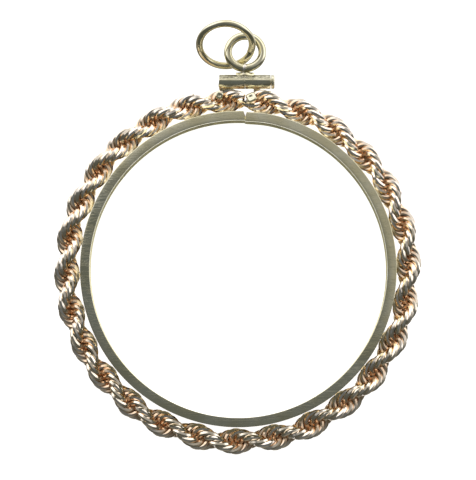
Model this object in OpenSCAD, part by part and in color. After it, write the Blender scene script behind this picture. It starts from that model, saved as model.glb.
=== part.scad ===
// An empty rope-edged, screw-top coin mount, lying face up. Millimetres.
// The origin is the centre of the coin's seat, +Z is the side that shows the
// coin's face, and +Y points to the ring that the mount hangs from.

/* [Coin seat] */
// Diameter of the coin that the mount is made for
coin_d = 32.7; // [32:0.1:33.4]
// Thickness of that coin at its rim
coin_t = 2.87; // [2.5:0.01:3]
// Play between the coin's rim and the two lips, in all
coin_play = 0.03; // [0:0.01:0.1]

/* [Band] */
// Thickness of the band's outer wall
wall_t = 0.5; // [0.4:0.05:0.6]
// Thickness of the front and back lips
lip_t = 0.35; // [0.3:0.05:0.5]
// How far each lip reaches in over the coin
lip_reach = 0.42; // [0.3:0.02:0.6]
// How far the front lip falls towards its outer edge
front_fall = 0.1; // [0:0.01:0.15]
// Chamfer on the band's outer edges
edge_bevel = 0.08; // [0.04:0.01:0.12]
// Width of the split under the barrels
split_w = 0.12; // [0.08:0.02:0.2]
// Width of the notch filed at the split's outer edge
notch_w = 0.46; // [0.2:0.02:0.6]
// Depth of that notch
notch_depth = 0.42; // [0.2:0.02:0.45]

/* [Rope edge] */
// Swellings of the rope in a full turn, each one half turn of its twist
humps = 28; // [27:1:29]
// Links to each swelling
links_per_hump = 5; // [4:1:5]
// Radius of a link, to the middle of its wire
link_r = 1.10; // [1.09:0.01:1.11]
// Diameter of a link's wire
link_wire = 0.28; // [0.2:0.01:0.28]
// Offset of each link from the rope's axis, square to the link
link_shift = 0.42; // [0.4:0.01:0.44]
// Clearance between the rope and the band
rope_gap = 0.09; // [0.05:0.01:0.12]
// Angle from the top to the middle of the first swelling, in degrees
first_hump = 9.5; // [9:0.1:10.5]

/* [Barrels] */
// Outer diameter of the two closing barrels
barrel_d = 1.56; // [1.4:0.02:1.6]
// Left end of the left barrel, from the mount's middle
barrel_left = -2; // [-2.4:0.1:-1.8]
// Right end of the right barrel
barrel_right = 3.62; // [3.3:0.02:4]
// Place of the split between the barrels, and in the band
split_x = 0.84; // [0.6:0.02:1]
// Gap between the two barrels
barrel_gap = 0.08; // [0.04:0.02:0.12]
// Distance of the barrels' axis from the mount's centre
barrel_y = 20.2; // [20.15:0.01:20.4]
// Width of the leg under the left barrel
left_leg_w = 0.54; // [0.4:0.02:0.7]
// Width of the leg under the right barrel
right_leg_w = 0.78; // [0.5:0.02:0.9]

/* [Closing screw] */
// Diameter of the screw's shank
screw_d = 0.72; // [0.6:0.02:0.8]
// Clearance all round the shank
screw_play = 0.05; // [0.02:0.01:0.08]
// Diameter of the screw's head
head_d = 1.5; // [1.3:0.02:1.56]
// Thickness of the screw's head
head_t = 0.36; // [0.3:0.02:0.5]
// Width of the slot in the head
slot_w = 0.2; // [0.15:0.01:0.25]

/* [Hanging rings] */
// Outer diameter of the soldered ring
bail_d = 4.58; // [4.4:0.02:4.7]
// Wire diameter of the soldered ring
bail_wire = 0.81; // [0.7:0.01:0.84]
// How far the soldered ring leans back, in degrees
bail_lean = 12; // [8:1:13]
// Outer diameter of the loose ring
jump_d = 6.5; // [6.4:0.01:6.55]
// Wire diameter of the loose ring
jump_wire = 0.72; // [0.6:0.01:0.72]

/* [Hidden] */

// Colours of the two golds
yellow_gold = [0.80, 0.74, 0.48];
pale_gold = [0.86, 0.81, 0.58];
rose_gold = [0.85, 0.58, 0.42];

// Gap kept between pieces that are soldered or that bear on each other
joint_gap = 0.03;
// Overshoot of a cutting body past the surface that it cuts
cut = 0.5;
// Facets of a full turn: of the band, of a ring and of a wire
band_sides = 180;
ring_sides = 96;
wire_sides = 48;
link_wire_sides = 24;
$fn = 64;

// Sizes of the band that follow from the coin
seat_r = coin_d / 2;
band_r = seat_r + wall_t;
band_depth = coin_t + coin_play + 2 * lip_t;
lip_r = seat_r - lip_reach;
front_z = band_depth / 2;
lip_inner_z = front_z - lip_t;

// Reach of the rope's links round its axis, and the axis's own radius
link_reach = sqrt(pow(link_r, 2) + pow(link_shift, 2)) + link_wire / 2;
rope_r = band_r + rope_gap + link_reach;
hump_pitch = 360 / humps;
link_pitch = hump_pitch / links_per_hump;

// Under the barrels the rope is pressed in: how far its axis and its links'
// radius give, and the angles from the top where that ends and starts
nip_axis = 0.08;
nip_link = 0.03;
nip_full = 6;
nip_none = 20;

// The rope ends each side of the split, where whole links still fit
rope_end_left = 0.71;
rope_end_right = 0.9;
half_link_angle = asin((link_r + link_wire / 2) / rope_r);
first_link_angle = asin(rope_end_right / rope_r) + half_link_angle;
last_link_angle = 360 + asin(rope_end_left / rope_r) - half_link_angle;
first_link = ceil((first_link_angle - first_hump) / link_pitch);
last_link = floor((last_link_angle - first_hump) / link_pitch);

// Barrels: radii, and the bore that the screw runs in
barrel_r = barrel_d / 2;
bore_r = screw_d / 2 + screw_play;
bore_end_wall = 0.25;
tip_gap = 0.1;

// Legs: a plate behind the rope, and a foot that reaches forward to the barrel
leg_inset = 0.05;
leg_back_z = -front_z + leg_inset;
leg_plate_t = 0.33;
leg_foot_h = 0.4;
leg_foot_y = barrel_y - barrel_r + 0.3;
left_leg_x = -1.86;
right_leg_x = 2.12;

// Pad under the soldered ring, and the ring's place on it
pad_left = -0.14;
pad_right = 1.85;
pad_h = 0.33;
pad_depth = 0.9;
bail_x = 0.86;
bail_sink = 0.1;
bail_r = (bail_d - bail_wire) / 2;
barrel_top = barrel_y + barrel_r;
bail_low_y = barrel_top + joint_gap + pad_h + bail_wire / 2 - bail_sink;
bail_y = bail_low_y + bail_r * cos(bail_lean);
bail_z = -bail_r * sin(bail_lean);

// The loose ring lies through the soldered one, its far side raised
jump_r = (jump_d - jump_wire) / 2;
jump_centre = [-1.22, 24.02, 0.655];
jump_tilt = 45;
jump_roll = -0.4;
jump_seam_angle = 342;
jump_seam_w = 0.05;

// A ring of round wire, lying in the XY plane
module wire_ring(r, wire, sides = wire_sides) {
    rotate_extrude($fn = ring_sides)
        translate([r, 0])
            circle(d = wire, $fn = sides);
}

// Half of the band's section: the wall, and one lip turned in over the coin,
// whose face falls towards its outer edge
module band_section(fall) {
    polygon([
        [seat_r, 0],
        [band_r, 0],
        [band_r, front_z - fall - edge_bevel],
        [band_r - edge_bevel, front_z - fall],
        [lip_r + edge_bevel, front_z],
        [lip_r, front_z - edge_bevel],
        [lip_r, lip_inner_z],
        [seat_r, lip_inner_z]
    ]);
}

// The channel-shaped band, split under the barrels, with a filed notch there
module bezel_band() {
    color(yellow_gold)
        difference() {
            union() {
                rotate_extrude($fn = band_sides)
                    band_section(front_fall);
                rotate_extrude($fn = band_sides)
                    mirror([0, 1])
                        band_section(0);
            }
            translate([split_x - split_w / 2, lip_r - cut, -front_z - cut])
                cube([split_w, band_r - lip_r + 2 * cut, band_depth + 2 * cut]);
            translate([split_x, band_r, -front_z - cut])
                linear_extrude(band_depth + 2 * cut)
                    polygon([
                        [0, -notch_depth],
                        [notch_w / 2, cut],
                        [-notch_w / 2, cut]
                    ]);
        }
}

// How strongly the rope is pressed in at an angle from the top, from 0 to 1
function nip(angle) =
    let (
        from_top = min(angle, 360 - angle),
        way = (from_top - nip_full) / (nip_none - nip_full),
        t = min(max(way, 0), 1)
    )
    1 - t * t * (3 - 2 * t);

// One link of the rope: a round ring whose plane holds the rope's axis and
// turns about it from link to link
module rope_link(index) {
    angle = first_hump + index * link_pitch;
    turn = index * 180 / links_per_hump;
    rotate([0, 0, -angle])
        translate([0, rope_r - nip_axis * nip(angle), 0])
            rotate([turn, 0, 0])
                translate([0, 0, link_shift])
                    wire_ring(link_r - nip_link * nip(angle), link_wire, link_wire_sides);
}

// The rope chain round the band, every link threaded through its neighbours
module rope_edge() {
    color(rose_gold)
        for (index = [first_link : last_link])
            rope_link(index);
}

// A leg from a barrel down behind the rope to the band, middle at x
module barrel_leg(x, width) {
    plate_y = band_r + joint_gap;
    translate([x - width / 2, 0, 0])
        union() {
            translate([0, plate_y, leg_back_z])
                cube([width, barrel_y - plate_y, leg_plate_t]);
            translate([0, leg_foot_y, leg_back_z])
                cube([width, leg_foot_h, -leg_back_z - bore_r]);
        }
}

// A barrel with its leg, from one end to the other along X, bored for the screw
module barrel(from_x, to_x, leg_x, leg_w, bore_from) {
    color(yellow_gold)
        difference() {
            union() {
                translate([from_x, barrel_y, 0])
                    rotate([0, 90, 0])
                        cylinder(r = barrel_r, h = to_x - from_x);
                barrel_leg(leg_x, leg_w);
            }
            translate([bore_from, barrel_y, 0])
                rotate([0, 90, 0])
                    cylinder(r = bore_r, h = to_x - bore_from + cut);
        }
}

// The left barrel, which the screw's end is held in
module left_barrel() {
    barrel(
        barrel_left, split_x - barrel_gap / 2,
        left_leg_x, left_leg_w, barrel_left + bore_end_wall
    );
}

// The right barrel, which the screw passes through
module right_barrel() {
    barrel(
        split_x + barrel_gap / 2, barrel_right,
        right_leg_x, right_leg_w, split_x - cut
    );
}

// The screw that draws the barrels together, with a slotted head
module closing_screw() {
    head_x = barrel_right + joint_gap;
    tip_x = barrel_left + bore_end_wall + tip_gap;
    slot_depth = head_t / 2;
    color(pale_gold)
        translate([0, barrel_y, 0])
            difference() {
                rotate([0, 90, 0])
                    union() {
                        translate([0, 0, tip_x])
                            cylinder(d = screw_d, h = head_x - tip_x);
                        translate([0, 0, head_x])
                            cylinder(d = head_d, h = head_t);
                    }
                translate([head_x + head_t - slot_depth, -head_d, -slot_w / 2])
                    cube([slot_depth + cut, 2 * head_d, slot_w]);
            }
}

// The soldered ring, leaning back a little, with the pad under it
module bail_ring() {
    color(pale_gold)
        union() {
            translate([bail_x, bail_y, bail_z])
                rotate([-bail_lean, 0, 0])
                    wire_ring(bail_r, bail_wire);
            translate([pad_left, barrel_top + joint_gap, -pad_depth / 2])
                cube([pad_right - pad_left, pad_h, pad_depth]);
        }
}

// The loose ring for a chain, with its cut seam
module jump_ring() {
    color(pale_gold)
        translate(jump_centre)
            rotate([jump_tilt, jump_roll, 0])
                difference() {
                    wire_ring(jump_r, jump_wire);
                    rotate([0, 0, jump_seam_angle])
                        translate([jump_r - jump_wire, -jump_seam_w / 2, -jump_wire])
                            cube([2 * jump_wire, jump_seam_w, 2 * jump_wire]);
                }
}

bezel_band();
rope_edge();
left_barrel();
right_barrel();
closing_screw();
bail_ring();
jump_ring();
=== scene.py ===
"""An empty rope-edged gold coin mount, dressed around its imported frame."""
import math
import random

import bmesh
import bpy
from bpy.props import FloatProperty, FloatVectorProperty, IntProperty, PointerProperty
from mathutils import Euler, Matrix, Vector


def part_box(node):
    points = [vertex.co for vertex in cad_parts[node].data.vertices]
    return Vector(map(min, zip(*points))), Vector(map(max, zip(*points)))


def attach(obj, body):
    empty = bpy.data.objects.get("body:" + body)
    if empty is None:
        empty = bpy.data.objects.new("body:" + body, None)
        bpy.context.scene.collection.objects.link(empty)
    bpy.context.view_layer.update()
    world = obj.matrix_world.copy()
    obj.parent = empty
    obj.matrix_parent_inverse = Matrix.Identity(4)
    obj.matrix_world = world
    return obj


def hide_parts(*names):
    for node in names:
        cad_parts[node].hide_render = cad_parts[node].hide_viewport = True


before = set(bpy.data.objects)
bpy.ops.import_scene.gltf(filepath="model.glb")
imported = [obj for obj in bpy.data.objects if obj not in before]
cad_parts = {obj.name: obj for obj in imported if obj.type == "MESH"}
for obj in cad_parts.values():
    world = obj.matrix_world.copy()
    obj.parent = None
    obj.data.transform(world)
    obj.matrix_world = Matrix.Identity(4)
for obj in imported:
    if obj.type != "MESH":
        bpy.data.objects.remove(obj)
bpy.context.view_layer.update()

bl_info = {
    "name": "Rope-edged coin mount",
    "version": (1, 0),
    "blender": (4, 5, 0),
    "location": "View3D > Sidebar > Coin mount",
    "description": "Dresses a gold coin mount with a rope edge, barrels, a screw and two rings",
    "category": "Object",
}

MM = 0.001
MOUNT_BODY = "mount"
SCREW_BODY = "screw"

# What the frame gives: the band's outer radius and depth, the barrels' radius and
# the line that they lie on, and the place of the split
BAND_LOW, BAND_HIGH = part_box("bezel_band")
BAND_R = BAND_HIGH.x
FRONT_Z = BAND_HIGH.z
BACK_Z = BAND_LOW.z
LEFT_LOW, LEFT_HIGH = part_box("left_barrel")
RIGHT_LOW, RIGHT_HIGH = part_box("right_barrel")
SCREW_LOW, SCREW_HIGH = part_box("closing_screw")
BAIL_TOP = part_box("bail_ring")[1].y
BARREL_R = LEFT_HIGH.z
BARREL_Y = LEFT_HIGH.y - BARREL_R
SPLIT_X = (LEFT_HIGH.x + RIGHT_LOW.x) / 2

# How finely the pieces are drawn, and the angle from which an edge shows as sharp
EDGE_STEPS = 4
SOFT_STEPS = 3
DOME_STEPS = 8
BAND_STATIONS = 300
LINK_SEGMENTS = 24
WIRE_SIDES = 8
TUBE_SIDES = 144
SOLDER_ROWS = 10
SOLDER_SIDES = 28
RING_STATIONS = 120
RING_SIDES = 32
PAD_STATIONS = 24
SHARP_FROM = math.radians(40)

# The golds: the width and directions of the hairlines, the depth of the bump, the
# tint of solder, and the painted shade that makes the barrels and the screw darker
HAIRLINE = 0.012
HAIRLINE_WAYS = (0.35, 1.25, 2.3)
BUMP_DEPTH = 0.02 * MM
SOLDER_TONE = (1.0, 0.93, 0.88)
PAINTED_SHADE = (0.91, 0.91, 0.91)

# The band: the bevel of its two end faces, the arc between the split and the nearest
# even section, the roundings of its slope and channel, and where its duller inside, tinted
# warmer as painted reflected light, starts and is full, in from the outer face and down from the
# front
END_BEVEL = 0.012 * MM
END_ARC = math.radians(1.8)
SLOPE_EDGE = 0.05 * MM
SEAT_EDGE = 0.03 * MM
CHANNEL_IN = (0.3 * MM, 0.4 * MM)
CHANNEL_DOWN = (0.5 * MM, 0.7 * MM)

# The rope: how far its links run past the top before they are cut, how much of it
# the cuts and bevels take in, where it is pressed in, as angles from the top, and
# how much smaller its links are there
SPARE_START = math.radians(4)
SPARE_END = math.radians(5)
CUT_SWELLINGS = 3
BEVEL_REACH = 2.5 * MM
PRESS_FULL = math.radians(6)
PRESS_NONE = math.radians(16)
PRESS_SHRINK = 0.04

# The barrels: where they are filed, rougher and darkened with painted shade, and where
# their left end is askew, as heights in radii, how far in that end is square again, and the crease,
# as angles from the front
FILED_SHADE_FROM = 0.34
FILED_SHADE_FULL = 0.41
SKEW_RANGE = (-0.1, 0.6)
SKEW_LENGTH = 0.4 * MM
CREASE_START = math.radians(-34)
CREASE_TOP = math.radians(13)
CREASE_END = math.radians(20)

# The legs: how far they lie over the band's back and clear of the floor, how far
# under the barrels' axis they bend forward, their edges, how much of the flare their
# thickness gets, and their path in millimetres, as steps along Y from the foot and
# from the bend, each with its rise and its share of the flare
LEG_LIFT = 0.05 * MM
FLOOR_CLEARANCE = 0.02 * MM
LEG_BEND = 0.25 * MM
LEG_EDGE = 0.07 * MM
FLARE_THICK = 0.6
FOOT_PATH = ((-0.05, 0, 1.0), (0.06, 0, 0.5), (0.22, 0, 0.08), (0.5, 0, 0.0))
BEND_PATH = (
    (-0.6, 0, 0.0), (-0.3, 0.02, 0.0), (-0.1, 0.14, 0.05), (0, 0.36, 0.15),
    (0, 0.62, 0.5), (0, 0.78, 1.0), (0, 0.95, 1.0),
)

# The two lumps of solder in front of the rope's ends: their places and sizes, the
# height of their faces, their backs as shares of radius and depth, their rims and
# dished faces as shares of the radius, and the waves of their outline
LEFT_SOLDER = {
    "x": -1.9 * MM, "y": 18.6 * MM, "radius": 0.42 * MM, "deep": 1.0 * MM,
    "slope_x": 0.04, "slope_y": 0.08,
}
RIGHT_SOLDER = {
    "x": 1.5 * MM, "y": 18.4 * MM, "radius": 0.56 * MM, "deep": 2.2 * MM,
    "slope_x": 0.28, "slope_y": -0.32,
}
SOLDER_FRONT = 1.42 * MM
SOLDER_BACK = ((0.25, 1.0), (0.8, 1.0), (1.0, 0.4))
SOLDER_RIM = 0.42
SOLDER_DISH = 0.16
SOLDER_WAVES = 4
SOLDER_WAVE = 0.1

# The screw: its play in the bore, the gap under its head, its tapered tip, the
# head's lower edge, the slot's share of the head's length and the saw's of its radius
SHANK_PLAY = 0.05 * MM
HEAD_GAP = 0.03 * MM
TIP_LENGTH = 0.1 * MM
TIP_SHARE = 0.7
HEAD_EDGE = 0.04 * MM
SLOT_SHARE = 0.35
SAW_REACH = 1.3

# The soldered ring: its place, the bead on its seam, as angles round the ring, and
# the stripe of solder that fills the seam
RING_X = 0.86 * MM
BEAD_ASIDE = 0.02
BEAD_WIDTH = 0.06
SEAM_LEAN = 0.35
SEAM_DROP = 1.5 * MM
SEAM_HALF = 0.14 * MM
SEAM_FADE = 0.5 * MM

# Its pad: where it lies along the barrels, its half width, how much narrower it is
# at its ends, under the ring and along its crest, its rise, how far and how widely
# the ring's solder draws it up, its crest's rounding and how far its sides sink in
PAD_LEFT = -0.14 * MM
PAD_RIGHT = 1.85 * MM
PAD_HALF = 0.45 * MM
PAD_TAPER = 0.35
PAD_WAIST = 0.25
PAD_CREST = 0.35
PAD_RISE = 0.22 * MM
DRAWN_RISE = 0.2 * MM
DRAWN_WIDTH = 0.42 * MM
PAD_EDGE = 0.05 * MM
PAD_SINK = 0.02 * MM

# The loose ring: the share of its wire, at each end, over which its cut ends part
PARTED_SHARE = 0.2

# The stage: the inner floor's distance from the band's outer face and its lift, how
# much of the softbox shows from low down, the glow from straight below, and the
# edges of the sky's fields, as parts of a direction of length 1
INNER_FLOOR_GAP = 1.3 * MM
INNER_FLOOR_LIFT = 0.01 * MM
INNER_FLOOR_SIDES = 96
LOW_GLOW = 0.55
UNDER_GLOW = (1.5, 1.5, 1.5)
SOFTBOX_EDGE = (-0.08, 0.3)
PALE_EDGE = (0.02, 0.2)
HIGH_EDGE = (0.4, 0.9)
HIGH_RISE = 0.16
CEILING_EDGE = (0.46, 0.78)
HORIZON = (0.02, -0.2)
UNDER_EDGE = (-0.86, -0.96)


def size(name, description, default):
    """A length that a user can change, in metres."""
    return FloatProperty(
        name=name, description=description, default=default,
        unit="LENGTH", subtype="DISTANCE", precision=6,
    )


def turn(name, description, degrees):
    """An angle that a user can change."""
    return FloatProperty(
        name=name, description=description, default=math.radians(degrees),
        unit="ROTATION", subtype="ANGLE",
    )


def amount(name, description, default):
    """A plain number from 0 to 1 that a user can change."""
    return FloatProperty(name=name, description=description, default=default, min=0, max=1)


def colour(name, description, default):
    """A colour that a user can change."""
    return FloatVectorProperty(
        name=name, description=description, default=default,
        subtype="COLOR", size=3, min=0, max=1,
    )


class GoldFinishes(bpy.types.PropertyGroup):
    """Colours and polish of the three golds."""

    yellow: colour("Yellow gold", "Greenish gold of the band and the barrels", (0.90, 0.85, 0.64))
    pale: colour("Pale gold", "Pale gold of the rings and the screw", (0.81, 0.765, 0.575))
    rose: colour("Rose gold", "Rose gold of the rope", (0.99, 0.88, 0.72))
    band_roughness: amount("Band roughness", "Satin of the band's flat lip", 0.12)
    wire_roughness: amount("Wire roughness", "Polish of the rings' wire", 0.06)
    rope_roughness: amount("Rope roughness", "Polish of the rope's links", 0.05)


class BandSizes(bpy.types.PropertyGroup):
    """Sizes of the channel-shaped band."""

    wall: size("Wall", "Thickness of the outer wall", 0.5 * MM)
    trim: size("Trim", "How much the outer face is polished down", 0.02 * MM)
    aside: size("Aside", "How far the band sits to the right in the rope", 0.07 * MM)
    ahead: size("Ahead", "How far it sits towards the barrels", 0.07 * MM)
    lip_reach: size("Lip reach", "How far the lips stand in from the outer face", 1.02 * MM)
    lip: size("Lip", "Thickness of the lips", 0.35 * MM)
    front_drop: size("Front drop", "Fall of the front lip towards its outer edge", 0.1 * MM)
    outer_edge: size("Outer edge", "Rounding of the outer edges", 0.07 * MM)
    inner_edge: size("Inner edge", "Rounding of the front lip's inner edge", 0.025 * MM)
    back_set: size("Back set", "How much less far in the back lip stands", 0.05 * MM)
    slope_w: size("Slope width", "Width of the slope on the back lip's edge", 0.34 * MM)
    slope_h: size("Slope height", "Height of that slope", 0.2 * MM)
    split: size("Split", "Width of the split under the barrels", 0.012 * MM)
    notch: size("Notch", "Width of the notch filed at the split", 0.36 * MM)
    notch_depth: size("Notch depth", "Depth of that notch", 0.48 * MM)
    step: size("Step", "How much lower the band's right end sits", 0.12 * MM)
    step_reach: turn("Step reach", "Angle over which the right end drops", 14)


class RopeSizes(bpy.types.PropertyGroup):
    """Sizes of the rope chain."""

    swellings: IntProperty(name="Swellings", description="Swellings in a full turn", default=28)
    links: IntProperty(name="Links", description="Links to each swelling", default=7)
    radius: size("Rope radius", "Distance of the rope's axis from the centre", 18.27 * MM)
    link: size("Link", "Radius of a link, to the middle of its wire", 1.12 * MM)
    wire: size("Wire", "Diameter of a link's wire", 0.57 * MM)
    shift: size("Shift", "Offset of a link square to itself", 0.1 * MM)
    first: turn("First swelling", "Angle of the first swelling from the top", 8.34)
    drift: turn("Drift", "How far the swellings drift round the mount", 2.6)
    press: size("Press", "How far the rope is pressed in under the barrels", 0.06 * MM)
    looseness: size("Looseness", "How unevenly the links sit", 0.025 * MM)
    seed: IntProperty(name="Seed", description="Choice of that unevenness", default=4)
    left_end: size("Left end", "Where the rope ends left of the split", 1.12 * MM)
    right_end: size("Right end", "Where it starts right of the split", 0.74 * MM)
    bevel: turn("Bevel", "Slant of the outer corners that are filed off its ends", 45)
    left_bevel: size("Left bevel", "Place of the left end's bevel along Y", 19.35 * MM)
    right_bevel: size("Right bevel", "Place of the right end's bevel along Y", 17.95 * MM)


class BarrelSizes(bpy.types.PropertyGroup):
    """Sizes of the two barrels, their legs and the screw."""

    edge: size("Edge", "Rounding of the barrels' ends", 0.06 * MM)
    bore: size("Bore", "Radius of the bore", 0.41 * MM)
    end_wall: size("End wall", "Thickness of the left barrel's closed end", 0.25 * MM)
    seam: size("Seam", "Gap that shows between the two barrels", 0.015 * MM)
    crease: size("Crease", "How far the rolled tube's lengthwise seam stands up", 0.06 * MM)
    end_trim: size("End trim", "How far the left end is filed back", 0.16 * MM)
    end_skew: size("End skew", "How much further back its upper part is filed", 0.04 * MM)
    leg_t: size("Leg", "Thickness of a leg", 0.34 * MM)
    left_leg_x: size("Left leg place", "Middle of the left leg", -1.68 * MM)
    left_leg_w: size("Left leg width", "Width of the left leg", 0.54 * MM)
    right_leg_x: size("Right leg place", "Middle of the right leg", 2.12 * MM)
    right_leg_w: size("Right leg width", "Width of the right leg", 0.7 * MM)
    flare: size("Flare", "How far the solder spreads at a leg's ends", 0.07 * MM)
    right_trim: size("Right trim", "How far the right end is filed back", 0.04 * MM)
    dome: size("Dome", "Rounding of the screw's head", 0.16 * MM)
    slot: size("Slot", "Width of the screw's slot", 0.2 * MM)


class RingSizes(bpy.types.PropertyGroup):
    """Sizes of the soldered ring and the loose ring."""

    bail_wire: size("Soldered wire", "Wire diameter of the soldered ring", 0.89 * MM)
    bail_d: size("Soldered ring", "Outer diameter of the soldered ring", 4.58 * MM)
    bail_lean: turn("Lean", "How far the soldered ring leans back", 12)
    bead: size("Bead", "Height of the solder bead on its seam", 0.09 * MM)
    jump_wire: size("Loose wire", "Wire diameter of the loose ring", 0.78 * MM)
    jump_d: size("Loose ring", "Outer diameter of the loose ring", 6.44 * MM)
    jump_tilt: turn("Tilt", "How far the loose ring's far side is raised", 45)
    jump_roll: turn("Roll", "How far it leans to the right", -0.4)
    jump_ahead: size("Ahead", "How far it lies past its collision ring's middle", 0.12 * MM)
    jump_seam: turn("Seam", "Place of the loose ring's cut", -20)
    seam_gap: size("Seam gap", "Width of the cut", 0.05 * MM)
    seam_step: size("Seam step", "How far the cut's two ends stand apart", 0.13 * MM)


class StageSetting(bpy.types.PropertyGroup):
    """The floor, the light and the camera."""

    floor: size("Floor", "Width of the floor", 3.0)
    camera_height: size("Camera height", "Height of the camera", 255 * MM)
    camera_y: size("Camera place", "Place of the camera along Y", -12 * MM)
    aim_x: size("Aim X", "What the camera looks at, along X", 0.04 * MM)
    aim_y: size("Aim Y", "What the camera looks at, along Y", 3.2 * MM)
    lens: FloatProperty(name="Lens", description="Focal length in millimetres", default=179.04)
    room: colour("Room", "The dark room to the lower left", (0.085, 0.088, 0.075))
    softbox: colour("Softbox", "The white softbox along the upper right", (1.0, 1.0, 1.0))
    power: FloatProperty(name="Power", description="Brightness of the softbox", default=1.5)
    softbox_side: turn("Softbox side", "Where it stands, from +X towards +Y", 80)
    dim: colour("Dim ceiling", "The ceiling above the dark room", (0.128, 0.14, 0.145))
    pale: colour("Pale ceiling", "The ceiling towards the softbox", (0.365, 0.365, 0.35))
    pale_side: turn("Pale side", "Where the ceiling is paler, from +X towards +Y", 60)
    high_side: turn("High side", "Where the softbox reaches higher, from +X towards +Y", 145)
    low: colour("Low room", "What is mirrored from low down on the dark side", (0.215, 0.205, 0.17))


class CoinMount(bpy.types.PropertyGroup):
    """Everything that a user can change."""

    finish: PointerProperty(type=GoldFinishes)
    band: PointerProperty(type=BandSizes)
    rope: PointerProperty(type=RopeSizes)
    barrel: PointerProperty(type=BarrelSizes)
    ring: PointerProperty(type=RingSizes)
    stage: PointerProperty(type=StageSetting)


def arithmetic(operation, swapped=False):
    """A method that adds one Math node for an operator."""

    def apply(self, other):
        pair = (other, self) if swapped else (self, other)
        return self.net.maths(operation, *pair)

    return apply


class Signal:
    """One output socket. Python expressions can work on it where it gives a number."""

    def __init__(self, net, socket):
        self.net = net
        self.socket = socket

    __add__ = arithmetic("ADD")
    __radd__ = arithmetic("ADD", swapped=True)
    __sub__ = arithmetic("SUBTRACT")
    __rsub__ = arithmetic("SUBTRACT", swapped=True)
    __mul__ = arithmetic("MULTIPLY")
    __rmul__ = arithmetic("MULTIPLY", swapped=True)
    __truediv__ = arithmetic("DIVIDE")

    def other(self, name):
        """Another output of the same node, by its name."""
        return Signal(self.net, self.socket.node.outputs[name])

    def numbered(self, index):
        """Another output of the same node, where several share a name."""
        return Signal(self.net, self.socket.node.outputs[index])


class Net:
    """A node tree under construction."""

    def __init__(self, tree):
        self.tree = tree
        tree.nodes.clear()

    def node(self, kind, settings, inputs):
        """Adds a node: its settings first, then the values or links of its sockets."""
        made = self.tree.nodes.new(kind)
        for name, value in settings.items():
            setattr(made, name, value)
        for key, value in inputs.items():
            if isinstance(value, Signal):
                self.tree.links.new(value.socket, made.inputs[key])
            else:
                made.inputs[key].default_value = value
        return Signal(self, made.outputs[0]) if made.outputs else None

    def maths(self, operation, *values):
        """Adds a Math node, which works on numbers alone."""
        inputs = dict(enumerate(values))
        return self.node("ShaderNodeMath", {"operation": operation}, inputs)

    def clamped(self, value, low, high, to_low=0.0, to_high=1.0):
        """Maps a range smoothly to another and stops at its ends."""
        settings = {"interpolation_type": "SMOOTHSTEP"}
        inputs = {0: value, 1: low, 2: high, 3: to_low, 4: to_high}
        return self.node("ShaderNodeMapRange", settings, inputs)

    def mixed(self, factor, first, second):
        """Mixes two colours."""
        settings = {"data_type": "RGBA"}
        inputs = {0: factor, 6: opaque(first), 7: opaque(second)}
        return self.node("ShaderNodeMix", settings, inputs).numbered(2)

    def noise(self, place, scale, detail):
        """Adds a noise texture and gives its value."""
        inputs = {"Vector": place, "Scale": scale, "Detail": detail}
        return self.node("ShaderNodeTexNoise", {}, inputs)

    def axes(self, vector):
        """The X, Y and Z of a vector."""
        parts = self.node("ShaderNodeSeparateXYZ", {}, {0: vector})
        return [parts.other(axis) for axis in "XYZ"]

    def place(self):
        """Where a point lies on the object."""
        return self.node("ShaderNodeTexCoord", {}, {}).other("Object")

    def attribute(self, name):
        """A number that the piece's mesh stores at its points."""
        return self.node("ShaderNodeAttribute", {"attribute_name": name}, {}).other("Fac")


def opaque(value):
    """A colour with its alpha, or a link as it is."""
    return value if isinstance(value, Signal) else (*value, 1.0)


def tinted(tone, factors):
    """A colour with each of its channels multiplied, up to 1."""
    return tuple(min(1.0, level * factor) for level, factor in zip(tone, factors))


def hairlines(net, place, angle, stretch, scale):
    """Thin lines that run one way over a surface: the 1 values are scratches."""
    inputs = {
        "Vector": place,
        "Rotation": (angle * 0.7, angle * 0.4, angle),
        "Scale": (scale / stretch, scale, scale),
    }
    level = net.noise(net.node("ShaderNodeMapping", {}, inputs), 1.0, 1.5)
    away = net.maths("ABSOLUTE", level - 0.5)
    return net.clamped(away, HAIRLINE, 0.0)


def new_material(name):
    """An empty material and its node tree."""
    material = bpy.data.materials.new(name)
    material.use_nodes = True
    return material, Net(material.node_tree)


def end_in_metal(net, base, rough, grain, height):
    """Ends a material in bare metal whose bump has the strength of its grain."""
    inputs = {"Strength": grain, "Distance": BUMP_DEPTH, "Height": height}
    normal = net.node("ShaderNodeBump", {}, inputs)
    inputs = {"Base Color": base, "Metallic": 1.0, "Roughness": rough, "Normal": normal}
    shader = net.node("ShaderNodeBsdfPrincipled", {}, inputs)
    net.node("ShaderNodeOutputMaterial", {}, {"Surface": shader})


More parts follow.
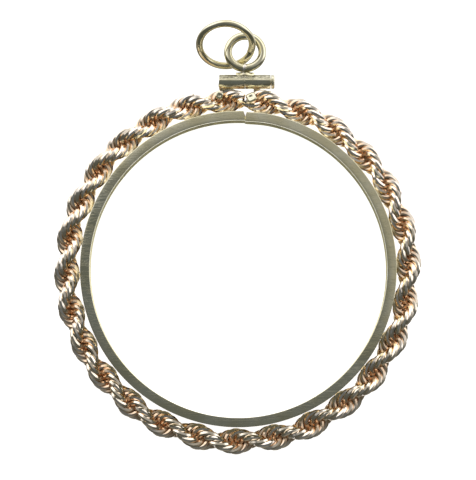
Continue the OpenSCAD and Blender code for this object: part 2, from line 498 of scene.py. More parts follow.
def gold_material(name, tone, roughness, grain, scratch, is_filed_and_shaded, is_channel_with_painted_light):
    """Worn, polished gold: hairline scratches, uneven polish, a little tarnish and,
    where the piece's solder attribute says so, paler and duller solder. On the barrels' filed upper
    part, dark marks add painted shade. In the band's channel, a warmer tint adds painted reflected
    light."""
    material, net = new_material(name)
    place = net.place()
    patches = net.noise(place, 260.0, 3.0)
    smears = net.noise(place, 900.0, 4.0)
    pits = net.noise(place, 5200.0, 3.0)
    lines = 0.0
    for angle in HAIRLINE_WAYS:
        lines = net.maths("MAXIMUM", lines, hairlines(net, place, angle, 14.0, 2600.0))

    tarnished = tinted(tone, (0.93, 0.90, 0.80))
    clean = tinted(tone, (1.03, 1.03, 1.05))
    base = net.mixed(net.clamped(patches, 0.38, 0.62), tarnished, clean)
    polish = net.clamped(smears, 0.3, 0.7, roughness * 0.75, roughness * 1.3)
    rough = polish + lines * (0.10 * scratch)
    height = smears * 0.25 + pits * 0.3 - lines * scratch
    if is_filed_and_shaded:
        lift = (net.axes(place)[1] - BARREL_Y) * (1 / BARREL_R)
        filed = net.clamped(lift, FILED_SHADE_FROM, FILED_SHADE_FULL)
        inputs = {"Vector": place, "Scale": (2600.0, 7000.0, 7000.0)}
        marks = net.noise(net.node("ShaderNodeMapping", {}, inputs), 1.0, 3.0)
        # Painted shade: the barrels' filed upper part is darkened in dark marks, besides its real
        # roughness and file-mark bump
        dark = tinted(tone, (0.4, 0.4, 0.4))
        base = net.mixed(filed * net.clamped(marks, 0.68, 0.42), base, dark)
        rough = rough + filed * 0.16
        height = height * (filed * 0.7 + 0.3) + filed * marks * 1.6
    if is_channel_with_painted_light:
        x, y, z = net.axes(place)
        away = net.maths("SQRT", x * x + y * y)
        inside = net.clamped(away, *(BAND_R - edge for edge in CHANNEL_IN))
        inside = inside * net.clamped(z, *(FRONT_Z - edge for edge in CHANNEL_DOWN))
        rough = rough + inside * 0.3
        # Painted reflected light: the channel's inside gets a warmer, yellower tone for light
        # bounced between its gold faces, besides its real duller finish
        base = net.mixed(inside, base, tinted(tone, (1.02, 1.0, 0.86)))
    solder = net.attribute("solder")
    base = net.mixed(solder, base, SOLDER_TONE)
    rough = rough + solder * 0.3
    end_in_metal(net, base, rough, grain, height)
    return material


def rope_material(name, tone, roughness):
    """Rose gold wire, duller towards the rope's middle and there darker and redder with painted
    shade.
    """
    material, net = new_material(name)
    place = net.place()
    smears = net.noise(place, 1200.0, 3.0)
    # Painted shade: towards the rope's middle the links get a darker, redder tone for the shade and
    # bounced light between them
    inner = net.clamped(net.attribute("reach"), 0.85, 0.45)
    pale = tinted(tone, (1.01, 1.03, 1.12))
    deep = tinted(tone, (0.93, 0.77, 0.66))
    base = net.mixed(inner, net.mixed(net.attribute("link_tone"), tone, pale), deep)
    rough = net.clamped(smears, 0.3, 0.7, roughness * 0.7, roughness * 1.4) + inner * 0.08
    height = smears * 0.3 - hairlines(net, place, 0.9, 10.0, 3000.0)
    end_in_metal(net, base, rough, 0.12, height)
    return material


def finish_of(name):
    """The material of one of the finishes, made once."""
    known = bpy.data.materials.get(name)
    if known:
        return known
    finish = bpy.context.scene.coin_mount.finish
    if name == "rope_gold":
        return rope_material(name, tuple(finish.rose), finish.rope_roughness)
    satin = finish.band_roughness
    # The barrels and the screw are given darker copies of the golds, as painted shade
    tone, roughness, grain, scratch = {
        "band_gold": (tuple(finish.yellow), satin, 0.24, 0.7),
        "barrel_gold": (tinted(finish.yellow, PAINTED_SHADE), satin * 0.6, 0.8, 0.6),
        "screw_gold": (tinted(finish.pale, PAINTED_SHADE), satin * 2, 0.5, 0.6),
        "ring_gold": (tuple(finish.pale), finish.wire_roughness, 0.15, 0.4),
    }[name]
    return gold_material(
        name, tone, roughness, grain, scratch,
        is_filed_and_shaded=name == "barrel_gold", is_channel_with_painted_light=name == "band_gold")


def rounded(corners, steps=EDGE_STEPS):
    """Points of a closed outline. A corner is (x, y, radius of its rounding)."""
    points = []
    for index, (x, y, radius) in enumerate(corners):
        here = Vector((x, y))
        to_last = (Vector(corners[index - 1][:2]) - here).normalized()
        to_next = (Vector(corners[(index + 1) % len(corners)][:2]) - here).normalized()
        half = to_last.angle(to_next) / 2
        centre = here + (to_last + to_next).normalized() * (radius / math.sin(half))
        start = here + to_last * (radius / math.tan(half)) - centre
        end = here + to_next * (radius / math.tan(half)) - centre
        sweep = math.atan2(start.x * end.y - start.y * end.x, start.dot(end))
        for step in range(steps + 1):
            bend = Matrix.Rotation(sweep * step / steps, 2)
            points.append(centre + bend @ start)
    return points


def skin(rings, closed=True):
    """Vertices and faces over a row of rings; an open row gets flat end caps."""
    side = len(rings[0])
    verts = [point for ring in rings for point in ring]
    faces = []
    for index in range(len(rings) if closed else len(rings) - 1):
        a = index * side
        b = (index + 1) % len(rings) * side
        for j in range(side):
            k = (j + 1) % side
            faces.append((a + j, a + k, b + k, b + j))
    if not closed:
        faces.append(tuple(range(side)))
        faces.append(tuple(range((len(rings) - 1) * side, len(rings) * side)))
    return verts, faces


def mesh_of(name, skins):
    """A mesh of one or more closed skins, with its faces pointing outwards."""
    work = bmesh.new()
    for verts, faces in skins:
        made = [work.verts.new(v) for v in verts]
        for face in faces:
            work.faces.new([made[i] for i in face])
    bmesh.ops.recalc_face_normals(work, faces=work.faces)
    mesh = bpy.data.meshes.new(name)
    work.to_mesh(mesh)
    work.free()
    return mesh


def add_piece(name, mesh, finish, body, node):
    """Puts a mesh in the scene as a finished piece that rides on a body, in place of
    a node of the frame."""
    mesh.polygons.foreach_set("use_smooth", [True] * len(mesh.polygons))
    mesh.set_sharp_from_angle(angle=SHARP_FROM)
    mesh.materials.clear()
    mesh.materials.append(finish_of(finish))
    piece = bpy.data.objects.new(name, mesh)
    bpy.context.scene.collection.objects.link(piece)
    weighted = piece.modifiers.new("even_shading", "WEIGHTED_NORMAL")
    weighted.keep_sharp = True
    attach(piece, body)
    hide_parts(node)
    return piece


def eased(value, start, end):
    """0 at start, 1 at end, smooth in between."""
    share = min(max((value - start) / (end - start), 0.0), 1.0)
    return share * share * (3 - 2 * share)


def band_outline(sizes, inset=0.0):
    """The band's section as (distance from the centre, height), shrunk by inset."""
    outer = BAND_R - sizes.trim - inset
    inner = BAND_R - sizes.lip_reach + inset
    seat = BAND_R - sizes.wall - inset
    top = FRONT_Z - inset
    bottom = BACK_Z + inset
    under_top = FRONT_Z - sizes.lip + inset
    over_bottom = BACK_Z + sizes.lip - inset
    edge = sizes.outer_edge - inset
    lip_edge = sizes.inner_edge - inset
    back_inner = inner + sizes.back_set
    return rounded([
        (outer, top - sizes.front_drop, edge),
        (outer, bottom, edge),
        (back_inner, bottom, edge),
        (back_inner, over_bottom - sizes.slope_h, lip_edge),
        (back_inner + sizes.slope_w, over_bottom, SLOPE_EDGE),
        (seat, over_bottom, SEAT_EDGE),
        (seat, under_top, SEAT_EDGE),
        (inner, under_top, lip_edge),
        (inner, top, lip_edge),
    ])


def band_ring(sizes, angle, side=0, inset=0.0):
    """The band's section at an angle from the top, clockwise. Where side is 1 or
    -1 the section lies in the face of the band's right or left end instead."""
    points = []
    settle = sizes.step * (1 - eased(angle, 0, sizes.step_reach))
    for radius, height in band_outline(sizes, inset):
        if side:
            depth = radius - (BAND_R - sizes.notch_depth)
            notch = max(depth, 0.0) / sizes.notch_depth * sizes.notch / 2
            x = SPLIT_X - sizes.aside
            x += side * (sizes.split / 2 + notch + END_BEVEL - inset)
            here = math.asin(x / radius) + (0 if side > 0 else 2 * math.pi)
        else:
            here = angle
        reach = radius - (settle if here < math.pi else 0)
        x = sizes.aside + reach * math.sin(here)
        points.append(Vector((x, sizes.ahead + reach * math.cos(here), height)))
    return points


class COINMOUNT_OT_band(bpy.types.Operator):
    """Makes the split band with its two lips"""

    bl_idname = "coin_mount.band"
    bl_label = "Band"

    def execute(self, context):
        sizes = context.scene.coin_mount.band
        at_split = math.asin(SPLIT_X / BAND_R)
        first = at_split + END_ARC
        last = 2 * math.pi + at_split - END_ARC
        rings = [band_ring(sizes, first, 1, END_BEVEL), band_ring(sizes, first, 1)]
        for index in range(BAND_STATIONS + 1):
            rings.append(band_ring(sizes, first + (last - first) * index / BAND_STATIONS))
        rings.append(band_ring(sizes, last, -1))
        rings.append(band_ring(sizes, last, -1, END_BEVEL))
        mesh = mesh_of("band", [skin(rings, closed=False)])
        add_piece("band", mesh, "band_gold", MOUNT_BODY, "bezel_band")
        return {"FINISHED"}


ROPE_INPUTS = {
    "NodeSocketInt": ("Links", "Seed"),
    "NodeSocketFloat": (
        "First link", "Link step", "Twist step", "First swelling", "Drift", "Rope radius",
        "Link radius", "Wire diameter", "Shift", "Press", "Looseness",
    ),
    "NodeSocketMaterial": ("Material",),
}


def rope_tree():
    """The node tree that threads round links into a rope round the band."""
    tree = bpy.data.node_groups.new("rope_chain", "GeometryNodeTree")
    for kind, names in ROPE_INPUTS.items():
        for name in names:
            tree.interface.new_socket(name, in_out="INPUT", socket_type=kind)
    tree.interface.new_socket("Geometry", in_out="OUTPUT", socket_type="NodeSocketGeometry")
    net = Net(tree)
    given = net.node("NodeGroupInput", {}, {})
    seed = given.other("Seed")
    index = net.node("GeometryNodeInputIndex", {}, {})

    def uneven(offset):
        inputs = {2: -1.0, 3: 1.0, "ID": index, "Seed": seed + float(offset)}
        return net.node("FunctionNodeRandomValue", {"data_type": "FLOAT"}, inputs).numbered(1)

    number = index + given.other("First link")
    even = given.other("First swelling") + number * given.other("Link step")
    angle = even + given.other("Drift") * (1.0 - net.maths("COSINE", even))
    twist = number * given.other("Twist step")
    from_top = net.maths("ARCCOSINE", net.maths("COSINE", angle))
    pressed = net.clamped(from_top, PRESS_NONE, PRESS_FULL)
    slack = given.other("Looseness")

    shift = given.other("Shift") + uneven(1) * slack
    reach = given.other("Rope radius") - pressed * given.other("Press") + uneven(2) * slack
    out = reach - shift * net.maths("SINE", twist)
    inputs = {
        0: out * net.maths("SINE", angle),
        1: out * net.maths("COSINE", angle),
        2: shift * net.maths("COSINE", twist),
    }
    place = net.node("ShaderNodeCombineXYZ", {}, inputs)
    wobble = slack / given.other("Link radius")
    inputs = {0: twist + uneven(3) * wobble, 1: uneven(4) * wobble, 2: 0.0 - angle}
    pose = net.node("ShaderNodeCombineXYZ", {}, inputs)

    settings = {"mode": "RADIUS"}
    inputs = {"Resolution": LINK_SEGMENTS, "Radius": given.other("Link radius")}
    path = net.node("GeometryNodeCurvePrimitiveCircle", settings, inputs)
    inputs = {"Resolution": WIRE_SIDES, "Radius": given.other("Wire diameter") * 0.5}
    section = net.node("GeometryNodeCurvePrimitiveCircle", settings, inputs)
    inputs = {"Curve": path, "Profile Curve": section}
    link = net.node("GeometryNodeCurveToMesh", {}, inputs)
    inputs = {"Count": given.other("Links"), "Position": place}
    points = net.node("GeometryNodePoints", {}, inputs)
    shrink = 1.0 - pressed * PRESS_SHRINK
    scale = net.node("ShaderNodeCombineXYZ", {}, {0: shrink, 1: shrink, 2: shrink})
    inputs = {"Points": points, "Instance": link, "Rotation": pose, "Scale": scale}
    links = net.node("GeometryNodeInstanceOnPoints", {}, inputs)
    real = net.node("GeometryNodeRealizeInstances", {}, {"Geometry": links})
    inputs = {"Geometry": real, "Material": given.other("Material")}
    coated = net.node("GeometryNodeSetMaterial", {}, inputs)
    net.node("NodeGroupOutput", {}, {"Geometry": coated})
    return tree


def grown_mesh(name, tree, values):
    """Runs a node tree with its inputs set, and gives the result as a plain mesh."""
    carrier = bpy.data.objects.new(name + "_carrier", bpy.data.meshes.new(name))
    bpy.context.scene.collection.objects.link(carrier)
    grower = carrier.modifiers.new("grower", "NODES")
    grower.node_group = tree
    for item in tree.interface.items_tree:
        if item.in_out == "INPUT":
            grower[item.identifier] = values[item.name]
    ready = carrier.evaluated_get(bpy.context.evaluated_depsgraph_get())
    mesh = bpy.data.meshes.new_from_object(ready)
    mesh.name = name
    bpy.data.objects.remove(carrier)
    return mesh


def cut_flat(work, faces, place, outward):
    """Saws faces off at a plane square to outward and fills the cut wire ends. The
    edges and points keep an order, unlike in a set, so that each run cuts alike."""
    edges = dict.fromkeys(edge for face in faces for edge in face.edges)
    verts = dict.fromkeys(vert for face in faces for vert in face.verts)
    cut = bmesh.ops.bisect_plane(
        work, geom=[*verts, *edges, *faces], dist=1e-9,
        plane_co=place, plane_no=outward, clear_outer=True,
    )
    open_edges = [
        item for item in cut["geom_cut"]
        if isinstance(item, bmesh.types.BMEdge) and item.is_boundary
    ]
    bmesh.ops.holes_fill(work, edges=open_edges)


class COINMOUNT_OT_rope(bpy.types.Operator):
    """Threads the links of the rope chain"""

    bl_idname = "coin_mount.rope"
    bl_label = "Rope edge"

    def execute(self, context):
        sizes = context.scene.coin_mount.rope
        swelling = 2 * math.pi / sizes.swellings
        step = swelling / sizes.links
        first = -math.ceil((sizes.first + SPARE_START) / step)
        count = sizes.swellings * sizes.links + 2 * math.ceil(SPARE_END / step)
        values = {
            "Links": count,
            "First link": float(first),
            "Link step": step,
            "Twist step": math.pi / sizes.links,
            "First swelling": sizes.first,
            "Drift": sizes.drift,
            "Rope radius": sizes.radius,
            "Link radius": sizes.link,
            "Wire diameter": sizes.wire,
            "Shift": sizes.shift,
            "Press": sizes.press,
            "Looseness": sizes.looseness,
            "Seed": sizes.seed,
            "Material": finish_of("rope_gold"),
        }
        mesh = grown_mesh("rope", rope_tree(), values)
        self.cut_ends(mesh, sizes, count)
        self.note_reach(mesh, sizes)
        piece = add_piece("rope", mesh, "rope_gold", MOUNT_BODY, "rope_edge")
        piece.modifiers.clear()
        return {"FINISHED"}

    @staticmethod
    def cut_ends(mesh, sizes, count):
        """Gives each link its own shade, then cuts and bevels the two rope ends."""
        work = bmesh.new()
        work.from_mesh(mesh)
        work.faces.ensure_lookup_table()
        faces = list(work.faces)
        each = len(faces) // count
        shade = work.verts.layers.float.new("link_tone")
        pick = random.Random(sizes.seed)
        for number in range(count):
            tone = pick.random()
            for face in faces[number * each:(number + 1) * each]:
                for vert in face.verts:
                    vert[shade] = tone
        taken = CUT_SWELLINGS * sizes.links * each
        last_faces = faces[-taken:]
        cut_flat(work, faces[:taken], (sizes.right_end, 0, 0), (-1, 0, 0))
        cut_flat(work, last_faces, (sizes.left_end, 0, 0), (1, 0, 0))
        # The two ends overlap a little, and where they do, the right bevel cuts both to
        # the right of the middle and the left bevel cuts both to the left of it
        middle = (sizes.left_end + sizes.right_end) / 2
        for side, end, height in (
            (-1, sizes.right_end, sizes.right_bevel), (1, sizes.left_end, sizes.left_bevel),
        ):
            beside = [
                face for face in work.faces
                if face.calc_center_median().y > 0
                and 0 < (middle - face.calc_center_median().x) * side < BEVEL_REACH
            ]
            slant = (side * math.sin(sizes.bevel), math.cos(sizes.bevel), 0)
            cut_flat(work, beside, (end, height, 0), slant)
        bmesh.ops.recalc_face_normals(work, faces=work.faces)
        work.to_mesh(mesh)
        work.free()

    @staticmethod
    def note_reach(mesh, sizes):
        """Stores how far each point lies from the rope's axis, as a share, which places the rope's
        painted shade.
        """
        full = sizes.link + sizes.wire / 2
        reach = mesh.attributes.new("reach", "FLOAT", "POINT")
        away = [
            math.hypot(v.co.xy.length - sizes.radius, v.co.z) / full
            for v in mesh.vertices
        ]
        reach.data.foreach_set("value", away)


def tube_ring(x, radius, skew=0.0, crease=0.0):
    """A circle round the barrels' axis, filed askew by skew, with a crease in front."""
    points = []
    for index in range(TUBE_SIDES):
        angle = 2 * math.pi * index / TUBE_SIDES
        from_front = math.remainder(math.pi / 2 - angle, 2 * math.pi)
        rise = eased(from_front, CREASE_START, CREASE_TOP)
        rise -= eased(from_front, CREASE_TOP, CREASE_END)
        reach = radius + crease * rise
        lift = reach * math.cos(angle)
        along = x + skew * eased(lift / BARREL_R, *SKEW_RANGE)
        points.append(Vector((along, BARREL_Y + lift, reach * math.sin(angle))))
    return points


def rounded_end(x, radius, edge, inward, steps=EDGE_STEPS):
    """Stations (x, radius) round the outer edge of a tube's end, from its face out."""
    stations = []
    for step in range(steps + 1):
        angle = math.pi / 2 * step / steps
        along = x + inward * edge * (1 - math.cos(angle))
        stations.append((along, radius - edge + edge * math.sin(angle)))
    return stations


def strap_skin(x, width, thick, flare, path):
    """A strap along a path of (y, z, spread), wider by flare where spread is 1."""
    rings = []
    for index, (y, z, spread) in enumerate(path):
        before = path[max(index - 1, 0)]
        after = path[min(index + 1, len(path) - 1)]
        along = Vector((0, after[0] - before[0], after[1] - before[1])).normalized()
        square = along.cross(Vector((1, 0, 0)))
        half_w = width / 2 + flare * spread
        half_t = thick / 2 + flare * spread * FLARE_THICK
        outline = rounded([
            (half_w, half_t, LEG_EDGE), (-half_w, half_t, LEG_EDGE),
            (-half_w, -half_t, LEG_EDGE), (half_w, -half_t, LEG_EDGE),
        ], SOFT_STEPS)
        ring = [Vector((x + u, y, z)) + square * v for u, v in outline]
        for point in ring:
            point.z = max(point.z, BACK_Z + FLOOR_CLEARANCE)
        rings.append(ring)
    return skin(rings, closed=False)


def solder_skin(x, y, radius, deep, slope_x, slope_y):
    """A lump of solder in the rope: its sides reach back by deep, and its dished
    face rises by slope_x towards +X and by slope_y towards +Y."""
    section = [(share, -depth * deep) for share, depth in SOLDER_BACK]
    for step in range(EDGE_STEPS + 1):
        angle = math.pi / 2 * step / EDGE_STEPS
        lip = 1 - SOLDER_RIM + SOLDER_RIM * math.cos(angle)
        section.append((lip, SOLDER_RIM * radius * (math.sin(angle) - 1)))
    for step in range(1, SOLDER_ROWS):
        share = 1 - step / SOLDER_ROWS
        hollow = (1 - share ** 2) ** 2
        section.append(((1 - SOLDER_RIM) * share, -SOLDER_DISH * radius * hollow))
    rings = []
    for share, height in section:
        ring = []
        for index in range(SOLDER_SIDES):
            around = 2 * math.pi * index / SOLDER_SIDES
            wave = SOLDER_WAVE * math.cos(SOLDER_WAVES * around + x / MM)
            flat = radius * share * (1 + wave)
            up = flat * math.sin(around)
            out = flat * math.cos(around)
            z = SOLDER_FRONT + height + slope_x * out + slope_y * up
            ring.append(Vector((x + out, y + up, z)))
        rings.append(ring)
    return skin(rings, closed=False)


def leg_skin(x, width, sizes):
    """A leg from the band up behind the rope and forward into its barrel."""
    low = BACK_Z + LEG_LIFT + sizes.leg_t / 2
    foot = BAND_R * math.cos(math.asin(x / BAND_R))
    bend = BARREL_Y - LEG_BEND
    path = [
        (start + along * MM, low + rise * MM, spread)
        for start, stretch in ((foot, FOOT_PATH), (bend, BEND_PATH))
        for along, rise, spread in stretch
    ]
    return strap_skin(x, width, sizes.leg_t, sizes.flare, path)


class COINMOUNT_OT_barrels(bpy.types.Operator):
    """Makes the two barrels with their legs"""

    bl_idname = "coin_mount.barrels"
    bl_label = "Barrels"

    def execute(self, context):
        sizes = context.scene.coin_mount.barrel
        left = self.left_barrel(sizes)
        leg = leg_skin(sizes.left_leg_x, sizes.left_leg_w, sizes)
        mesh = mesh_of("left_tube", [left, leg, solder_skin(**LEFT_SOLDER)])
        add_piece("left_tube", mesh, "barrel_gold", MOUNT_BODY, "left_barrel")
        right = self.right_barrel(sizes)
        leg = leg_skin(sizes.right_leg_x, sizes.right_leg_w, sizes)
        mesh = mesh_of("right_tube", [right, leg, solder_skin(**RIGHT_SOLDER)])
        add_piece("right_tube", mesh, "barrel_gold", MOUNT_BODY, "right_barrel")
        return {"FINISHED"}

    @staticmethod
    def left_barrel(sizes):
        """A cup whose bore stops short of its closed left end."""
        start = LEFT_LOW.x + sizes.end_trim
        end = SPLIT_X - sizes.seam / 2
        rings = []
        for x, radius in rounded_end(start, BARREL_R, sizes.edge, 1):
            rings.append(tube_ring(x, radius, sizes.end_skew, sizes.crease))
        rings.append(tube_ring(start + SKEW_LENGTH, BARREL_R, crease=sizes.crease))
        for x, radius in reversed(rounded_end(end, BARREL_R, sizes.edge / 2, -1)):
            rings.append(tube_ring(x, radius, crease=sizes.crease))
        rings.append(tube_ring(end, sizes.bore))
        rings.append(tube_ring(start + sizes.end_wall, sizes.bore))
        return skin(rings, closed=False)

    @staticmethod
    def right_barrel(sizes):
        """A tube that the screw passes through."""
        start = SPLIT_X + sizes.seam / 2
        end = RIGHT_HIGH.x - sizes.right_trim
        rings = []
        for x, radius in rounded_end(start, BARREL_R, sizes.edge / 2, 1):
            rings.append(tube_ring(x, radius, crease=sizes.crease))
        for x, radius in reversed(rounded_end(end, BARREL_R, sizes.edge / 2, -1)):
            rings.append(tube_ring(x, radius, crease=sizes.crease))
        rings.append(tube_ring(end, sizes.bore))
        rings.append(tube_ring(start, sizes.bore))
        return skin(rings)


class COINMOUNT_OT_screw(bpy.types.Operator):
    """Makes the closing screw with its slotted head"""

    bl_idname = "coin_mount.screw"
    bl_label = "Screw"

    def execute(self, context):
        sizes = context.scene.coin_mount.barrel
        head_r = (SCREW_HIGH.z - SCREW_LOW.z) / 2
        shank_r = sizes.bore - SHANK_PLAY
        head_x = RIGHT_HIGH.x + HEAD_GAP
        tip, top = SCREW_LOW.x, SCREW_HIGH.x
        stations = [(tip, shank_r * TIP_SHARE), (tip + TIP_LENGTH, shank_r), (head_x, shank_r)]
        stations += rounded_end(head_x, head_r, HEAD_EDGE, 1)
        stations += reversed(rounded_end(top, head_r, sizes.dome, -1, DOME_STEPS))
        rings = [tube_ring(x, radius) for x, radius in stations]
        mesh = mesh_of("screw_blank", [skin(rings, closed=False)])
        blank = bpy.data.objects.new("screw_blank", mesh)
        half = sizes.slot / 2
        depth = (top - head_x) * SLOT_SHARE
        reach = head_r * SAW_REACH
        corners = ((reach, half), (-reach, half), (-reach, -half), (reach, -half))
        rings = [
            [Vector((x, BARREL_Y + y, z)) for y, z in corners]
            for x in (top - depth, top + depth)
        ]
        saw = bpy.data.objects.new("saw", mesh_of("saw", [skin(rings, closed=False)]))
        for thing in (blank, saw):
            context.scene.collection.objects.link(thing)
        slot = blank.modifiers.new("slot", "BOOLEAN")
        slot.object = saw
        slot.operation = "DIFFERENCE"
        slot.solver = "EXACT"
        ready = blank.evaluated_get(context.evaluated_depsgraph_get())
        mesh = bpy.data.meshes.new_from_object(ready)
        mesh.name = "screw"
        for thing in (blank, saw):
            bpy.data.objects.remove(thing)
        add_piece("screw", mesh, "screw_gold", SCREW_BODY, "closing_screw")
        return {"FINISHED"}


def wire_ring(centre, pose, radius, wire, start, end, swell=None, drift=0.0):
    """Rings of points along a bent wire, from one angle to another. swell gives
    the wire's extra radius at an angle; drift moves its ends out of plane."""
    closed = abs(end - start - 2 * math.pi) < 1e-6
    count = RING_STATIONS if closed else RING_STATIONS + 1
    rings = []
    for index in range(count):
        share = index / RING_STATIONS
        angle = start + (end - start) * share
        out = Vector((math.cos(angle), math.sin(angle), 0))
        near_end = eased(share, 1 - PARTED_SHARE, 1) - eased(share, PARTED_SHARE, 0)
        middle = out * radius + Vector((0, 0, drift * near_end / 2))
        thick = wire / 2 + (swell(angle) if swell else 0)
        ring = []
        for side in range(RING_SIDES):
            around = 2 * math.pi * side / RING_SIDES
            offset = out * math.cos(around) + Vector((0, 0, math.sin(around)))
            ring.append(centre + pose @ (middle + offset * thick))
        rings.append(ring)
    return rings


class COINMOUNT_OT_bail_ring(bpy.types.Operator):
    """Makes the soldered ring and its pad"""

    bl_idname = "coin_mount.bail_ring"
    bl_label = "Soldered ring"

    def execute(self, context):
        sizes = context.scene.coin_mount.ring
        radius = (sizes.bail_d - sizes.bail_wire) / 2
        pose = Euler((-sizes.bail_lean, 0, 0)).to_matrix()
        top_y = BAIL_TOP - sizes.bail_wire / 2
        centre_y = top_y - radius * math.cos(sizes.bail_lean)
        centre = Vector((RING_X, centre_y, -radius * math.sin(sizes.bail_lean)))

        def bead(angle):
            away = math.remainder(angle + math.pi / 2 + BEAD_ASIDE, 2 * math.pi)
            return sizes.bead * math.exp(-(away / BEAD_WIDTH) ** 2)

        rings = wire_ring(
            centre, pose, radius, sizes.bail_wire, 0, 2 * math.pi, bead)
        mesh = mesh_of("soldered_ring", [skin(rings), self.pad_skin()])
        self.note_solder(mesh, centre)
        add_piece("soldered_ring", mesh, "ring_gold", MOUNT_BODY, "bail_ring")
        return {"FINISHED"}

    @staticmethod
    def note_solder(mesh, centre):
        """Marks the solder that fills the ring's seam, above the pad."""
        solder = mesh.attributes.new("solder", "FLOAT", "POINT")
        pad_y = BARREL_Y + BARREL_R
        marked = []
        for vert in mesh.vertices:
            across = vert.co.x - centre.x - SEAM_LEAN * (vert.co.y - centre.y + SEAM_DROP)
            below = eased(centre.y - vert.co.y, 0.0, SEAM_FADE)
            above = eased(vert.co.y, pad_y, pad_y + SEAM_FADE)
            marked.append(below * above * math.exp(-(across / SEAM_HALF) ** 4))
        solder.data.foreach_set("value", marked)

    @staticmethod
    def pad_skin():
        """The pad on the barrels, drawn up to the ring by the solder."""
        low = BARREL_Y + BARREL_R
        rings = []
        for index in range(PAD_STATIONS + 1):
            x = PAD_LEFT + (PAD_RIGHT - PAD_LEFT) * index / PAD_STATIONS
            near = math.exp(-((x - RING_X) / DRAWN_WIDTH) ** 2)
            from_end = min(index, PAD_STATIONS - index) / 2
            shrink = 1 - PAD_TAPER * (1 - min(from_end, 1)) ** 2
            half = PAD_HALF * shrink * (1 - PAD_WAIST * near)
            crest = half * PAD_CREST
            top = low + PAD_RISE + near * DRAWN_RISE
            sag = BARREL_R - math.sqrt(max(BARREL_R ** 2 - half ** 2, 0))
            side = low - sag - PAD_SINK
            outline = rounded([
                (top, crest, PAD_EDGE), (side, half, PAD_SINK), (low - 3 * PAD_SINK, 0, PAD_SINK),
                (side, -half, PAD_SINK), (top, -crest, PAD_EDGE),
            ], SOFT_STEPS)
            rings.append([Vector((x, y, z)) for y, z in outline])
        return skin(rings, closed=False)


class COINMOUNT_OT_jump_ring(bpy.types.Operator):
    """Makes the loose ring with its cut seam"""

    bl_idname = "coin_mount.jump_ring"
    bl_label = "Loose ring"

    def execute(self, context):
        sizes = context.scene.coin_mount.ring
        radius = (sizes.jump_d - sizes.jump_wire) / 2
        low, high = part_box("jump_ring")
        centre = (low + high) / 2 + Vector((0, sizes.jump_ahead, 0))
        pose = Euler((sizes.jump_tilt, sizes.jump_roll, 0)).to_matrix()
        gap = sizes.seam_gap / radius
        start = sizes.jump_seam + gap / 2
        end = sizes.jump_seam + 2 * math.pi - gap / 2
        rings = wire_ring(
            centre, pose, radius, sizes.jump_wire, start, end, drift=sizes.seam_step)
        mesh = mesh_of("loose_ring", [skin(rings, closed=False)])
        add_piece("loose_ring", mesh, "ring_gold", MOUNT_BODY, "jump_ring")
        return {"FINISHED"}


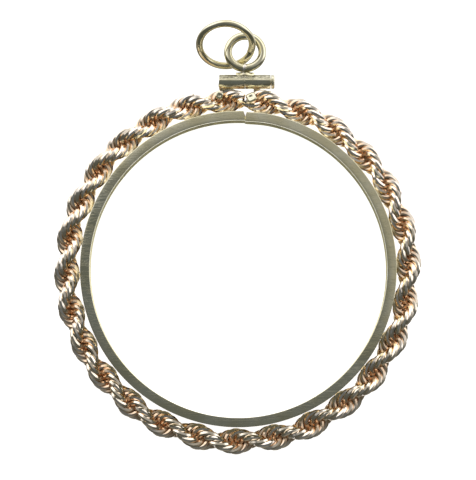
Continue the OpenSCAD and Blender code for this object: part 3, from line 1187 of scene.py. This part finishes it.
class COINMOUNT_OT_stage(bpy.types.Operator):
    """Makes the floor, the light and the camera"""

    bl_idname = "coin_mount.stage"
    bl_label = "Stage"

    def execute(self, context):
        setting = context.scene.coin_mount.stage
        context.scene.view_settings.view_transform = "Standard"
        self.add_floor(setting)
        self.add_sky(context, setting)
        self.add_camera(context, setting)
        return {"FINISHED"}

    def add_floor(self, setting):
        """A plain white floor, lit evenly, that the gold doesn't mirror, and a disc of
        the same floor inside the band, that it does."""
        material, net = new_material("floor_white")
        inputs = {
            "Base Color": (0.6, 0.6, 0.6, 1), "Roughness": 0.9,
            "Emission Color": (1, 1, 1, 1), "Emission Strength": 1.0,
        }
        shader = net.node("ShaderNodeBsdfPrincipled", {}, inputs)
        net.node("ShaderNodeOutputMaterial", {}, {"Surface": shader})
        half = setting.floor / 2
        corners = [(-half, -half), (half, -half), (half, half), (-half, half)]
        floor = self.lay_flat("floor", corners, BACK_Z, material)
        floor.visible_glossy = False
        radius = BAND_R - INNER_FLOOR_GAP
        angles = [2 * math.pi * side / INNER_FLOOR_SIDES for side in range(INNER_FLOOR_SIDES)]
        corners = [(radius * math.cos(angle), radius * math.sin(angle)) for angle in angles]
        self.lay_flat("inner_floor", corners, BACK_Z + INNER_FLOOR_LIFT, material)

    @staticmethod
    def lay_flat(name, corners, height, material):
        """Puts a flat face of the floor in the scene."""
        mesh = bpy.data.meshes.new(name)
        verts = [(x, y, height) for x, y in corners]
        mesh.from_pydata(verts, [], [tuple(range(len(corners)))])
        mesh.materials.append(material)
        flat = bpy.data.objects.new(name, mesh)
        bpy.context.scene.collection.objects.link(flat)
        return flat

    @staticmethod
    def add_sky(context, setting):
        """A tall white softbox along the upper right, a dark room to the lower left
        and a dim ceiling over both."""
        world = bpy.data.worlds.new("studio")
        world.use_nodes = True
        context.scene.world = world
        net = Net(world.node_tree)
        way = net.node("ShaderNodeTexCoord", {}, {}).other("Generated")
        across, along, up = net.axes(way)

        def towards(side):
            return across * math.cos(side) + along * math.sin(side)

        flat = net.maths("SQRT", net.maths("MAXIMUM", 1.0 - up * up, 0.001))
        lit = net.clamped(towards(setting.softbox_side) / flat, *SOFTBOX_EDGE)
        glow = tuple(level * setting.power for level in setting.softbox)
        walls = net.mixed(lit, tuple(setting.room), glow)
        low_glow = tuple(level * LOW_GLOW for level in glow)
        under = net.mixed(lit, tuple(setting.low), low_glow)
        under = net.mixed(net.clamped(up, *UNDER_EDGE), under, UNDER_GLOW)
        paler = net.clamped(towards(setting.pale_side), *PALE_EDGE)
        ceiling = net.mixed(paler, tuple(setting.dim), tuple(setting.pale))
        rise = net.clamped(towards(setting.high_side) / flat, *HIGH_EDGE, 0.0, HIGH_RISE)
        above = net.mixed(net.clamped(up - rise, *CEILING_EDGE), walls, ceiling)
        sky = net.mixed(net.clamped(up, *HORIZON), above, under)
        light = net.node("ShaderNodeBackground", {}, {"Color": sky, "Strength": 1.0})
        net.node("ShaderNodeOutputWorld", {}, {"Surface": light})

    @staticmethod
    def add_camera(context, setting):
        """The photograph's view, from above and a little below the mount's middle."""
        data = bpy.data.cameras.new("camera")
        data.lens = setting.lens
        data.clip_start = 0.01
        data.clip_end = 10.0
        camera = bpy.data.objects.new("camera", data)
        camera.location = (0, setting.camera_y, setting.camera_height)
        aim = Vector((setting.aim_x, setting.aim_y, 0)) - camera.location
        camera.rotation_euler = aim.to_track_quat("-Z", "Y").to_euler()
        context.scene.collection.objects.link(camera)
        context.scene.camera = camera


class COINMOUNT_PT_panel(bpy.types.Panel):
    """Lists the pieces of the mount"""

    bl_idname = "COINMOUNT_PT_panel"
    bl_label = "Coin mount"
    bl_space_type = "VIEW_3D"
    bl_region_type = "UI"
    bl_category = "Coin mount"

    def draw(self, context):
        for operator in PIECES:
            self.layout.operator(operator.bl_idname)


PIECES = (
    COINMOUNT_OT_stage, COINMOUNT_OT_band, COINMOUNT_OT_rope, COINMOUNT_OT_barrels,
    COINMOUNT_OT_screw, COINMOUNT_OT_bail_ring, COINMOUNT_OT_jump_ring,
)
GROUPS = (
    GoldFinishes, BandSizes, RopeSizes, BarrelSizes, RingSizes, StageSetting, CoinMount,
)


def register():
    for group in (*GROUPS, *PIECES, COINMOUNT_PT_panel):
        bpy.utils.register_class(group)
    bpy.types.Scene.coin_mount = PointerProperty(type=CoinMount)


def unregister():
    del bpy.types.Scene.coin_mount
    for group in reversed((*GROUPS, *PIECES, COINMOUNT_PT_panel)):
        bpy.utils.unregister_class(group)


def main():
    """Makes every piece."""
    register()
    bpy.ops.coin_mount.stage()
    bpy.ops.coin_mount.band()
    bpy.ops.coin_mount.rope()
    bpy.ops.coin_mount.barrels()
    bpy.ops.coin_mount.screw()
    bpy.ops.coin_mount.bail_ring()
    bpy.ops.coin_mount.jump_ring()


if __name__ == "__main__":
    main()
